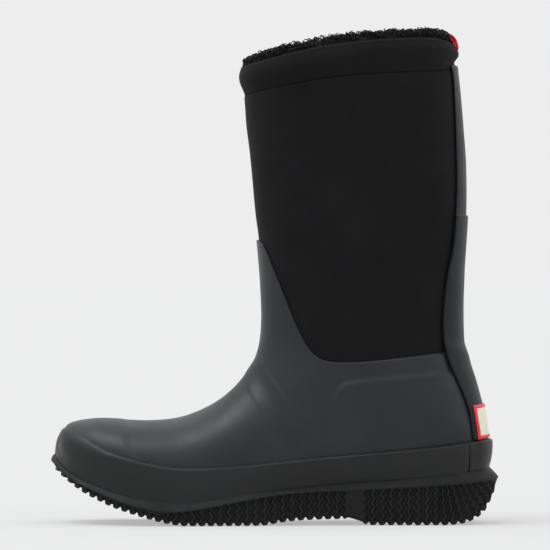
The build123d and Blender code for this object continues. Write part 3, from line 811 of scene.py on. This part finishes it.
def foxing_column(trees, x, y, direction):
    """One upright line of the band's outer face, and the line it is glued to, from the sole up."""
    start, inset = np.array([x, y, 0.0]), float(deck_inset(y))
    ray_start = start - direction * CAST_START
    bottom = float(line_height(DECK, y + inset * direction[1])) - 0.5
    lip_start = 0.90 - 0.55 * float(step(-116 - y, 16))
    y_top = y + 6 * direction[1]
    for _ in range(4):
        top = float(line_height(FOXING_TOP, y_top))
        hit = cast_inwards(trees, ray_start + np.array([0, 0, top]), direction)
        y_top = hit[1]
    at_top = float((hit - start) @ direction)
    outer, inner = [], []
    for share in np.linspace(0, 1, FOXING_ROWS):
        z = bottom + (top - bottom) * share
        hit = cast_inwards(trees, ray_start + np.array([0, 0, z]), direction)
        glued = 30.0 if hit is None else float((hit - start) @ direction)
        straight = inset + (at_top - FOXING_THICK - inset) * share - 0.9 * math.sin(math.pi * share)
        lip = max(0.0, (share - lip_start) / (1 - lip_start))
        reach = min(glued - FOXING_THICK, straight) + 2.35 * (1 - math.sqrt(max(1 - lip**2.2, 0.0)))
        level = start + np.array([0, 0, z])
        outer.append(level + direction * reach)
        inner.append(level + direction * (max(reach + 1.2, min(glued, inset + 9.0)) + 0.25))
    return np.array(outer), np.array(inner)


def make_foxing(vamp, stay, overlay):
    """The mudguard band as two strips: toe and sides, and the short piece round the heel."""
    trees = [surface_tree(vamp), surface_tree(stay), surface_tree(overlay)]
    ring, inward = outline_ring(900)
    columns = [foxing_column(trees, *place, np.array([*way, 0.0])) for place, way in zip(ring, inward)]
    outer = np.stack([column[0] for column in columns], 1)
    inner = np.stack([column[1] for column in columns], 1)
    for _ in range(4):
        outer = (np.roll(outer, 1, 1) + 2 * outer + np.roll(outer, -1, 1)) / 4
    heel = ring[:, 1] > FOXING_JOINT_Y
    to_joint = heel | np.roll(heel, 1) | np.roll(heel, -1)
    pieces = []
    for name, keep, proud in (("foxing_band_strip", ~heel, 0.0), ("heel_foxing_strip", to_joint, 0.2)):
        index = np.where(keep)[0]
        gaps = np.where(np.diff(index) > 1)[0]
        if len(gaps):
            index = np.roll(index, -(gaps[0] + 1))
        strip_outer, strip_inner = outer[:, index].copy(), inner[:, index]
        strip_outer[..., :2] -= inward[index] * proud
        ends = 1 - np.clip(to_ends(len(index)) / 2, 0, 1)
        strip_outer += (strip_inner - strip_outer) * 0.12 * ends[None, :, None]**2
        pieces.append(make_strip(name, strip_outer, strip_inner, MAT["foxing"]))
    return pieces


def cast_badge(trees):
    """A grid of places on the heel where the badge lies, and the way out at each."""
    slope = np.array([0, -0.137, 0.9906])
    level = np.array([0, 0.9906, 0.137])
    across = np.array([1.0, 0, 0])
    centre = np.array([0, 98.0, 62.0])
    grid = np.zeros((BADGE_ROWS, BADGE_COLUMNS, 3))
    out = np.zeros_like(grid)
    for i, rise in enumerate(np.linspace(-BADGE_HALF_HEIGHT, BADGE_HALF_HEIGHT, BADGE_ROWS)):
        for j, turn in enumerate(np.linspace(-BADGE_HALF_ANGLE, BADGE_HALF_ANGLE, BADGE_COLUMNS)):
            out[i, j] = level * math.cos(turn) + across * math.sin(turn)
            origin = centre + slope * (rise - 1.4) + out[i, j] * 60
            grid[i, j] = cast_inwards(trees, origin, -out[i, j])
    return grid, out


def make_badge_frame(surface, back, hole):
    """The badge's raised border: its grid without the quads of the panel, closed round both edges."""
    first_row, end_row, first_column, end_column = hole
    quads = grid_faces(BADGE_ROWS, BADGE_COLUMNS, wrap_columns=False)
    i, j = quads[:, 0] // BADGE_COLUMNS, quads[:, 0] % BADGE_COLUMNS
    in_hole = (i >= first_row) & (i < end_row - 1) & (j >= first_column) & (j < end_column - 1)
    front = quads[~in_hole]
    count = BADGE_ROWS * BADGE_COLUMNS
    edges = dict.fromkeys((a, b) for quad in front[:, ::-1] for a, b in zip(quad, np.roll(quad, -1)))
    sides = [(b, a, a + count, b + count) for a, b in edges if (b, a) not in edges]
    points = np.concatenate([surface.reshape(-1, 3), back.reshape(-1, 3)])
    faces = np.concatenate([front[:, ::-1], front + count, np.array(sides)])
    piece = make_object("heel_badge_frame", points, faces, MAT["badge_red"])
    remove_loose(piece)
    return piece


def make_badge(stay, overlay):
    """A blank badge wrapped round the heel: a raised red border and a sunk cream panel."""
    grid, out = cast_badge([surface_tree(stay), surface_tree(overlay)])
    width = np.linalg.norm(np.diff(grid[BADGE_ROWS // 2], axis=0), axis=1).sum()
    height = 2 * BADGE_HALF_HEIGHT
    i_mm = (np.arange(BADGE_ROWS) * height / (BADGE_ROWS - 1))[:, None]
    j_mm = (np.arange(BADGE_COLUMNS) * width / (BADGE_COLUMNS - 1))[None, :]
    to_edge = np.minimum(np.minimum(i_mm, height - i_mm), np.minimum(j_mm, width - j_mm))
    rise = np.sqrt(np.clip(1 - np.clip(1 - to_edge / 0.7, 0, 1)**2, 0, 1))
    sunk = step(to_edge - BADGE_BORDER, 0.22)
    surface = grid + out * (0.15 + 1.0 * rise - 0.35 * sunk)[..., None]
    back = grid + out * 0.02
    inside = to_edge >= BADGE_BORDER
    rows, columns = np.where(inside.any(1))[0], np.where(inside.any(0))[0]
    hole = (rows[0], rows[-1] + 1, columns[0], columns[-1] + 1)
    panel = (slice(*hole[:2]), slice(*hole[2:]))
    panel_piece = make_strip("heel_badge_panel_blank", surface[panel], back[panel], MAT["badge_cream"])
    return make_badge_frame(surface, back, hole), panel_piece


def remove_loose(obj):
    """Deletes the vertices that no face uses."""
    work = bmesh.new()
    work.from_mesh(obj.data)
    loose = [vertex for vertex in work.verts if not vertex.link_faces]
    bmesh.ops.delete(work, geom=loose, context="VERTS")
    work.to_mesh(obj.data)
    work.free()


# =============================================================== the outsole

def rib_phase(y, z, reach):
    """Distance along the run of ribs, which fans round the heel and the toe, with the zigzag added."""
    heel_angle = np.arctan2(np.maximum(y - HEEL_FAN_Y, 0), HEEL_FAN_Z - z)
    toe_angle = np.arctan2(np.maximum(TOE_FAN_Y - y, 0), TOE_FAN_Z - z)
    along = np.clip(y, TOE_FAN_Y, HEEL_FAN_Y) + HEEL_FAN_Z * heel_angle - TOE_FAN_Z * toe_angle
    wave = np.abs((((ZIGZAG_START + reach) / ZIGZAG_PERIOD) % 1) * 2 - 1) * 2 - 1
    return (along + ZIGZAG * wave) / RIB_PITCH


def groove(phase):
    """0 on a rib's flat tip and 1 at the bottom of the groove beside it."""
    place = np.abs((phase % 1) - 0.5) * 2
    return 1 - step(place - 0.60, 0.30)


def side_rings(ring, inward, deck, lip, bottom):
    """Rings of points down the sole's side: from the deck to the lip, and on to where it turns under."""
    heel_end, toe_end = near_ends(ring[:, 1])
    top_inset = deck_inset(ring[:, 1])
    levels = []
    for s in np.linspace(0, 1, 9):
        inset = top_inset * (1 - s)**(1.35 + 1.5 * toe_end) + 0.25 * math.sin(math.pi * s)
        levels.append((deck + (lip - deck) * s, inset))
    for s in np.linspace(0, 1, 34)[1:]:
        z = lip + (bottom + EDGE_RADIUS - lip) * s
        inset = 0.45 * step(np.array(s - 0.10), 0.06) + 0.9 * s * (1 - heel_end)
        levels.append((np.minimum(z, lip), inset))
    return np.array([np.column_stack([ring + inward * inset[:, None], z]) for z, inset in levels])


def under_rings(ring, inward, bottom, spine):
    """Rings of points over the sole's underside to its spine, and how far each point is from the edge."""
    edge = ring + inward * 1.35
    flatter = np.where(sum(near_ends(ring[:, 1])) > 0.5, 0.35, 1.0)
    rings, from_edges = [], []
    for s in np.linspace(0, 1, 74)[1:]:
        place = spine + (edge - spine) * (1 - s**1.5)
        from_edge = np.linalg.norm(edge - place, axis=1)
        rest = np.clip(EDGE_RADIUS - from_edge, 0, EDGE_RADIUS)
        curve = EDGE_RADIUS - np.sqrt(np.clip(EDGE_RADIUS**2 - rest**2, 0, None))
        z = np.maximum(line_height(TREAD, place[:, 1]), 0) + flatter * curve
        rings.append(np.column_stack([place, np.minimum(z, bottom + EDGE_RADIUS)]))
        from_edges.append(from_edge)
    return np.array(rings), np.array(from_edges)


def cut_tread(grid, reach, on_side, lip, bottom):
    """Sinks the grooves between the ribs, and the flat step between the arch and the heel."""
    y, z = grid[..., 1], grid[..., 2]
    cut = groove(rib_phase(y, z, reach))
    breast = step(y - 45.5, 1.5) * step(56.5 - y, 1.5)
    ribbed_wall = np.maximum(np.maximum(step(y + 74, 9), step(-112 - y, 8)), step(bottom + 4.2 - z, 1.0))
    ribbed = np.where(on_side, ribbed_wall * step(lip - 1.0 - z, 0.8), 1.0) * (1 - breast)
    depth = RIB_DEPTH * cut * ribbed + BREAST_DEPTH * breast * np.where(on_side, 0.0, 1.0)
    normal = normals_of(grid, True)
    inwards = normal * np.sign((normal * (np.array([0, 0, 30.0]) - grid)).sum(-1, keepdims=True))
    grid = grid + inwards * depth[..., None]
    grid[..., 2] = np.maximum(grid[..., 2], 0.0)
    return grid


def make_outsole():
    """The sole: smooth edge band over a zigzag tread that climbs the sides of the arch and heel."""
    ring, inward = outline_ring(1100)
    y = ring[:, 1]
    inset = deck_inset(y)
    deck = line_height(DECK, y + inward[:, 1] * inset)
    lip = np.minimum(line_height(LIP, y), deck - 2.8)
    bottom = np.minimum(line_height(TREAD, y), lip - 0.5)
    spine = np.column_stack([0.55 * np.interp(y, [-142, -60, 20, 142], [-9, 1, 2, 0]), y * 0.72])
    side = side_rings(ring, inward, deck, lip, bottom)
    under, from_edge = under_rings(ring, inward, bottom, spine)
    grid = np.concatenate([side, under])
    reach = np.concatenate([side[..., 2] - bottom, -from_edge])
    on_side = np.arange(len(grid))[:, None] < len(side)
    grid = cut_tread(grid, reach, on_side, lip, bottom)
    top_rings = []
    for s in np.linspace(1, 0, 12)[:-1]:
        place = spine + (ring + inward * inset[:, None] - spine) * (1 - s)
        top_rings.append(np.column_stack([place, line_height(DECK, place[:, 1])]))
    full = np.concatenate([np.array(top_rings), grid])
    faces = close_spine(grid_faces(len(full), len(ring)), len(full), len(ring))
    return make_object("outsole_tread", full.reshape(-1, 3), faces, MAT["outsole"])


def close_spine(faces, rows, columns):
    """Adds the two middle seams, where the rings have shrunk on to the spine."""
    extra = []
    for base, order in ((0, -1), ((rows - 1) * columns, 1)):
        for k in range(columns // 2):
            quad = [base + k, base + k + 1, base + columns - 1 - k, base + (columns - k) % columns]
            if len(set(quad)) == 4:
                extra.append(quad[::order])
    return np.concatenate([faces, np.array(extra)])


# =============================================================== pull tab and footbed

def unit_tangents(line):
    """The direction of travel at each point of a line in the side view."""
    along = np.gradient(line, axis=0)
    return along / np.linalg.norm(along, axis=1, keepdims=True)


def weave_strip(name, middle, half_thick):
    """Webbing of the tab's width along a centre line in the side view, with its cross ribs and soft edges."""
    along = unit_tangents(middle)
    side = np.stack([-along[:, 1], along[:, 0]], 1)[:, None]
    length = np.concatenate([[0], np.cumsum(np.linalg.norm(np.diff(middle, axis=0), axis=1))])[:, None]
    u = np.linspace(-1, 1, 41)
    cord = 0.07 * np.cos(2 * math.pi * length / 1.15) + 0.05 * np.cos(u * 34)
    thick = (half_thick + cord) * np.sqrt(np.maximum(1 - np.abs(u)**10, 0.05))
    wave = 0.10 * np.sin(length * 0.21 + 2.0 * u)
    x = np.broadcast_to(u * TAB_HALF_WIDTH, wave.shape)[..., None]
    top, bottom = (np.concatenate([x, middle[:, None] + side * (sign * thick + wave)[..., None]], -1)
                   for sign in (1, -1))
    return make_strip(name, top, bottom, MAT["webbing"])


def make_pull_tab():
    """A folded loop of webbing: two layers side by side, closed by a round fold at the free end."""
    path = smooth_rows(np.linspace(0, len(TAB_PATH) - 1, 120), np.array(TAB_PATH, float))
    tangent = unit_tangents(path)
    out = np.stack([-tangent[:, 1], tangent[:, 0]], 1)
    gap, fold_reach = 0.84, 2.14
    turn = np.linspace(0, math.pi, 12)[1:-1, None]
    fold = path[-1] + out[-1] * gap * np.cos(turn) * 1.3 + tangent[-1] * fold_reach * np.sin(turn)
    loop = np.concatenate([path + out * gap, fold, (path - out * gap)[::-1]])
    return weave_strip("pull_tab_webbing", loop, 0.70)


def make_sewn_end():
    """The tab's end between hem and lining, up to the seam where the loop turns over."""
    path = smooth_rows(np.linspace(0, len(SEWN_END) - 1, 50), np.array(SEWN_END, float))
    return weave_strip("pull_tab_sewn_end", path, 0.75)


def make_footbed_cover():
    """The footbed's pile face, crowned and lumpy over its foam."""
    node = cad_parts["footbed_cover"]
    cover = node.copy()
    cover.data = node.data.copy()
    cover.name = "footbed_cover_pile"
    cover.parent = None
    bpy.context.scene.collection.objects.link(cover)
    remesh = cover.modifiers.new("even", "REMESH")
    remesh.mode = "VOXEL"
    remesh.voxel_size = 0.0011
    bpy.context.view_layer.update()
    graph = bpy.context.evaluated_depsgraph_get()
    mesh = bpy.data.meshes.new_from_object(cover.evaluated_get(graph))
    bpy.data.objects.remove(cover)
    co = np.zeros(len(mesh.vertices) * 3, np.float32)
    mesh.vertices.foreach_get("co", co)
    co = co.reshape(-1, 3) / MM
    top = step(co[:, 2] - line_height(DECK, co[:, 1]) - 13.0, 1.0)
    lumps = 0.45 * value_noise(co, 3.6, 41) + 0.35 * value_noise(co, 1.9, 42) - 0.5
    co[:, 2] += top * lumps
    mesh.vertices.foreach_set("co", (co * MM).astype(np.float32).ravel())
    mesh.update()
    return place_mesh("footbed_cover_pile", mesh, MAT["pile_shaded"])


# =============================================================== build and ride

def attach(obj, nodes, body="boot"):
    """Puts a piece on its body, in place of its CAD nodes."""
    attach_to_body(obj, body)
    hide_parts(*nodes)
    return obj


vamp = attach(make_vamp(), ["rubber_vamp"])
leg = attach(make_neoprene_leg(), ["neoprene_leg"])
stitches = attach(make_stitches(leg), ["hem_stitching"])
stay_depths = (-0.1 - STAY, NEOPRENE_OUT - 0.1 - STAY)
stay = make_back_strip("back_stay_strip", 47, STAY_TOP_Z, stay_depths, STAY, 0.0, MAT["stay"])
attach(stay, ["back_stay"])
overlay_depths = tuple(depth - 0.05 - OVERLAY for depth in stay_depths)
overlay = make_back_strip("back_stay_overlay_strip", 49, OVERLAY_TOP_Z, overlay_depths, OVERLAY, 0.45,
                          MAT["stay"], 180)
attach(overlay, ["back_stay_overlay"])
foxing, heel_foxing = make_foxing(vamp, stay, overlay)
attach(foxing, ["foxing_band"])
attach(heel_foxing, ["heel_foxing"])
badge_frame, badge_panel = make_badge(stay, overlay)
attach(badge_frame, ["heel_badge_border"])
attach(badge_panel, ["heel_badge_panel"])
attach(make_outsole(), ["outsole"])
attach(make_pile_backing(), ["leg_lining"])
CURL_BANDS = {
    "pile_curls_rim": (2100, (4.4, 9.0), (1.0, 5.3), 1.8, 51),
    "pile_curls_edge": (2100, (5.2, 9.8), (-3.5, 3.5), 1.9, 53),
    "pile_curls_inside": (2100, (8.6, 10.2), (-60, -3), 2.0, 52),
}
for band_name, band in CURL_BANDS.items():
    attach(make_curls(band_name, *band), ["leg_lining"])
tab = attach(make_pull_tab(), ["pull_tab"], "pull_tab")
attach(make_sewn_end(), ["pull_tab_anchor"])
cover = attach(make_footbed_cover(), ["footbed_cover"], "footbed")

CAD_FINISH = {
    "toe_puff": "stiffener",
    "instep_band": "stiffener",
    "heel_counter": "stiffener",
    "insole_board": "board",
    "forepart_filler": "filler",
    "heel_filler": "filler",
    "shank": "steel",
    "foot_lining": "pile_shaded",
    "footbed_foam": "foam",
}
for node, finish in CAD_FINISH.items():
    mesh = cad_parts[node].data
    mesh.materials.clear()
    mesh.materials.append(MAT[finish])


# =============================================================== floor, light and camera

FLOOR_HALF = 9.0
FLOOR_SHADE = (0.26, 0.26, 0.26, 1)
FLOOR_GLOW = 0.428
LAMP_COLOUR = (0.90, 0.96, 1.0)


def make_stage():
    """A pale table lit softly from below, large enough to fill the view."""
    mesh = bpy.data.meshes.new("floor")
    corners = [(FLOOR_HALF * x, FLOOR_HALF * y, 0) for x, y in ((-1, -1), (1, -1), (1, 1), (-1, 1))]
    mesh.from_pydata(corners, [], [(0, 1, 2, 3)])
    material, _, shader = new_material("light_table")
    set_inputs(shader, {"Base Color": FLOOR_SHADE, "Roughness": 0.9, "Specular IOR Level": 0.0,
                        "Emission Color": (1, 0.995, 0.985, 1), "Emission Strength": FLOOR_GLOW})
    mesh.materials.append(material)
    add_object("floor", mesh)


def add_sun(name, position, spread_degrees, strength):
    """A soft lamp that shines evenly from a direction towards the boot."""
    lamp = bpy.data.lights.new(name, "SUN")
    lamp.angle = math.radians(spread_degrees)
    lamp.energy = strength
    lamp.color = LAMP_COLOUR
    obj = add_object(name, lamp)
    obj.rotation_euler = (-Vector(position)).to_track_quat("-Z", "Y").to_euler()
    obj.location = position


def make_light():
    """A bright room with a lighter ceiling, and soft lamps over the toe and behind the heel."""
    world = bpy.data.worlds.new("room")
    bpy.context.scene.world = world
    world.use_nodes = True
    tree = world.node_tree
    ceiling = map_values(tree, add_axes(tree, "Generated")["Z"], 0.35, 0.95)
    colour = mix_colours(tree, ceiling, (0.846, 0.846, 0.846), (1.5, 1.5, 1.5))
    tree.links.new(colour, tree.nodes["Background"].inputs["Color"])
    add_sun("lamp_toe", (0.34, -0.9, 2.1), 34, 1.5)
    add_sun("lamp_heel", (0.45, 1.6, 0.5), 26, 0.16)


def make_camera():
    """A long lens at the outer side, level with the middle of the leg."""
    distance, elevation, span = 5.0, math.radians(0.9), 0.3509
    target = Vector((0, 0.0005, 0.1582))
    camera = bpy.data.cameras.new("camera")
    camera.sensor_width = 36
    camera.lens = 18 / (span / 2 / distance)
    obj = add_object("camera", camera)
    obj.location = target + Vector((distance * math.cos(elevation), 0, distance * math.sin(elevation)))
    obj.rotation_euler = (target - obj.location).to_track_quat("-Z", "Y").to_euler()
    bpy.context.scene.camera = obj
    bpy.context.scene.view_settings.view_transform = "Standard"


make_stage()
make_light()
make_camera()
